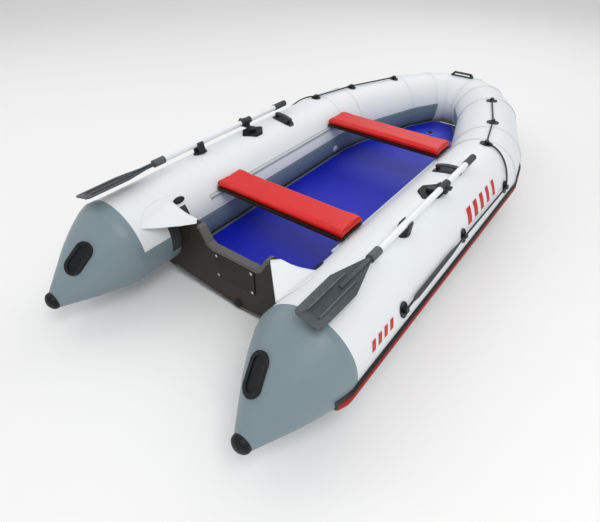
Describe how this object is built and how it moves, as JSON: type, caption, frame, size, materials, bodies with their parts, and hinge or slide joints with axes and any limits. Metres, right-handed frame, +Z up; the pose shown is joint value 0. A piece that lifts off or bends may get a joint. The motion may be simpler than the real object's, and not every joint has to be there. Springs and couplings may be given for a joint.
{
  "type": "inflatable motor dinghy",
  "caption": "Open inflatable boat with a hard transom for an outboard motor, inflated floor, sliding padded benches, oars in swivelling locks, valves, handles and grab lines.",
  "frame": {"origin": "under the middle of the boat, on the level of the lowest point of the keel line", "axes": "+Y to the bow, +X to starboard, +Z up"},
  "size_m": [1.6868, 3.6046, 0.592],
  "materials": {
    "tube_fabric": "satin white coated fabric",
    "cone_fabric": "satin blue-grey coated fabric",
    "bottom_fabric": "satin grey coated fabric",
    "deck_fabric": "satin blue coated fabric with a fine weave",
    "strake_rubber": "matt charcoal rubber with red ribs",
    "grey_rubber": "matt grey rubber",
    "black_moulding": "matt black moulded rubber",
    "transom_board": "dark sealed plywood",
    "bench_board": "dark sealed plywood",
    "cushion_fabric": "red coated cloth over foam",
    "pale_moulding": "satin light grey moulded plastic",
    "steel": "brushed stainless steel",
    "oar_shaft": "white painted tube",
    "oar_blade": "matt grey moulded plastic",
    "rope": "black laid cord"
  },
  "bodies": {
    "hull": {"bench_rails": "pale_moulding", "bow_handle": "black_moulding", "bow_tube": "tube_fabric", "carry_handles": "black_moulding", "chamber_bulkheads": "tube_fabric", "cone_caps": "black_moulding", "cone_handles": "black_moulding", "deck": "deck_fabric", "drain_body": "black_moulding", "gusset_lugs": "black_moulding", "hull_bottom": "bottom_fabric", "keel_tube": "bottom_fabric", "motor_pads": "black_moulding", "oar_holders": "black_moulding", "pad_bolts": "steel", "port_grab_rope": "rope", "port_oarlock_base": "black_moulding", "port_shoulder_tube": "tube_fabric", "port_side_tube": "tube_fabric", "port_tail_cone": "cone_fabric", "rope_holders": "black_moulding", "rubbing_strake": "strake_rubber", "starboard_grab_rope": "rope", "starboard_oarlock_base": "black_moulding", "starboard_shoulder_tube": "tube_fabric", "starboard_side_tube": "tube_fabric", "starboard_tail_cone": "cone_fabric", "transom_board": "transom_board", "transom_bottom_strip": "strake_rubber", "transom_flanges": "grey_rubber", "transom_gussets": "tube_fabric", "transom_top_profile": "grey_rubber", "valve_bodies": "pale_moulding"},
    "starboard_swivel": {"starboard_oarlock_swivel": "black_moulding", "starboard_thole_bolt": "black_moulding"},
    "starboard_oar": {"starboard_oar_shaft": "oar_shaft", "starboard_oar_collar": "black_moulding", "starboard_oar_grip": "black_moulding", "starboard_oar_blade": "oar_blade"},
    "port_swivel": {"port_oarlock_swivel": "black_moulding", "port_thole_bolt": "black_moulding"},
    "port_oar": {"port_oar_shaft": "oar_shaft", "port_oar_collar": "black_moulding", "port_oar_grip": "black_moulding", "port_oar_blade": "oar_blade"},
    "rear_bench": {"rear_bench_board": "bench_board", "rear_cushion": "cushion_fabric", "rear_bench_sliders": "pale_moulding"},
    "front_bench": {"front_bench_board": "bench_board", "front_cushion": "cushion_fabric", "front_bench_sliders": "pale_moulding"},
    "starboard_valve_cap": {"starboard_valve_cap": "pale_moulding"},
    "starboard_valve_poppet": {"starboard_valve_poppet": "pale_moulding"},
    "port_valve_cap": {"port_valve_cap": "pale_moulding"},
    "port_valve_poppet": {"port_valve_poppet": "pale_moulding"},
    "bow_valve_cap": {"bow_valve_cap": "pale_moulding"},
    "bow_valve_poppet": {"bow_valve_poppet": "pale_moulding"},
    "floor_valve_cap": {"floor_valve_cap": "black_moulding"},
    "floor_valve_poppet": {"floor_valve_poppet": "pale_moulding"},
    "drain_plug": {"drain_plug": "black_moulding"}
  },
  "joints": [
    {"name": "starboard_oar_swing", "type": "hinge", "parent": "hull", "child": "starboard_swivel", "pos_m": [0.592, -0.325, 0.54], "axis": [0, 0, 1], "range_deg": [0, 100], "deforming": ["oar_holders"]},
    {"name": "starboard_oar_tilt", "type": "hinge", "parent": "starboard_swivel", "child": "starboard_oar", "pos_m": [0.65, -0.325, 0.572], "axis": [-1, 0, 0], "range_deg": [0, 4.5], "deforming": ["oar_holders"]},
    {"name": "port_oar_swing", "type": "hinge", "parent": "hull", "child": "port_swivel", "pos_m": [-0.592, -0.325, 0.54], "axis": [0, 0, -1], "range_deg": [0, 100], "deforming": ["oar_holders"]},
    {"name": "port_oar_tilt", "type": "hinge", "parent": "port_swivel", "child": "port_oar", "pos_m": [-0.65, -0.325, 0.572], "axis": [-1, 0, 0], "range_deg": [0, 4.5], "deforming": ["oar_holders"]},
    {"name": "rear_bench_slide", "type": "slide", "parent": "hull", "child": "rear_bench", "axis": [0, 1, 0], "range_m": [-0.1, 0.35]},
    {"name": "front_bench_slide", "type": "slide", "parent": "hull", "child": "front_bench", "axis": [0, 1, 0], "range_m": [-0.35, 0.08]},
    {"name": "starboard_cap_turn", "type": "hinge", "parent": "hull", "child": "starboard_valve_cap", "pos_m": [0.38343, 0.307, 0.2329], "axis": [-0.9613, 0, -0.2756], "range_deg": [0, 90]},
    {"name": "starboard_poppet_press", "type": "slide", "parent": "hull", "child": "starboard_valve_poppet", "axis": [0.9613, 0, 0.2756], "range_m": [0, 0.003], "stiffness_N_per_m": 600},
    {"name": "port_cap_turn", "type": "hinge", "parent": "hull", "child": "port_valve_cap", "pos_m": [-0.38343, 0.307, 0.2329], "axis": [0.9613, 0, -0.2756], "range_deg": [0, 90]},
    {"name": "port_poppet_press", "type": "slide", "parent": "hull", "child": "port_valve_poppet", "axis": [-0.9613, 0, 0.2756], "range_m": [0, 0.003], "stiffness_N_per_m": 600},
    {"name": "bow_cap_turn", "type": "hinge", "parent": "hull", "child": "bow_valve_cap", "pos_m": [0.27037, 0.88435, 0.23506], "axis": [-0.9111, -0.3065, -0.2756], "range_deg": [0, 90]},
    {"name": "bow_poppet_press", "type": "slide", "parent": "hull", "child": "bow_valve_poppet", "axis": [0.9111, 0.3065, 0.2756], "range_m": [0, 0.003], "stiffness_N_per_m": 600},
    {"name": "floor_cap_turn", "type": "hinge", "parent": "hull", "child": "floor_valve_cap", "pos_m": [0, 1.105, 0.1703], "axis": [0, 0, 1], "range_deg": [0, 90]},
    {"name": "floor_poppet_press", "type": "slide", "parent": "hull", "child": "floor_valve_poppet", "axis": [0, 0, -1], "range_m": [0, 0.003], "stiffness_N_per_m": 600},
    {"name": "drain_plug_turn", "type": "hinge", "parent": "hull", "child": "drain_plug", "pos_m": [0, -1.157, 0.036], "axis": [0, -1, 0], "range_deg": [0, 90]}
  ]
}
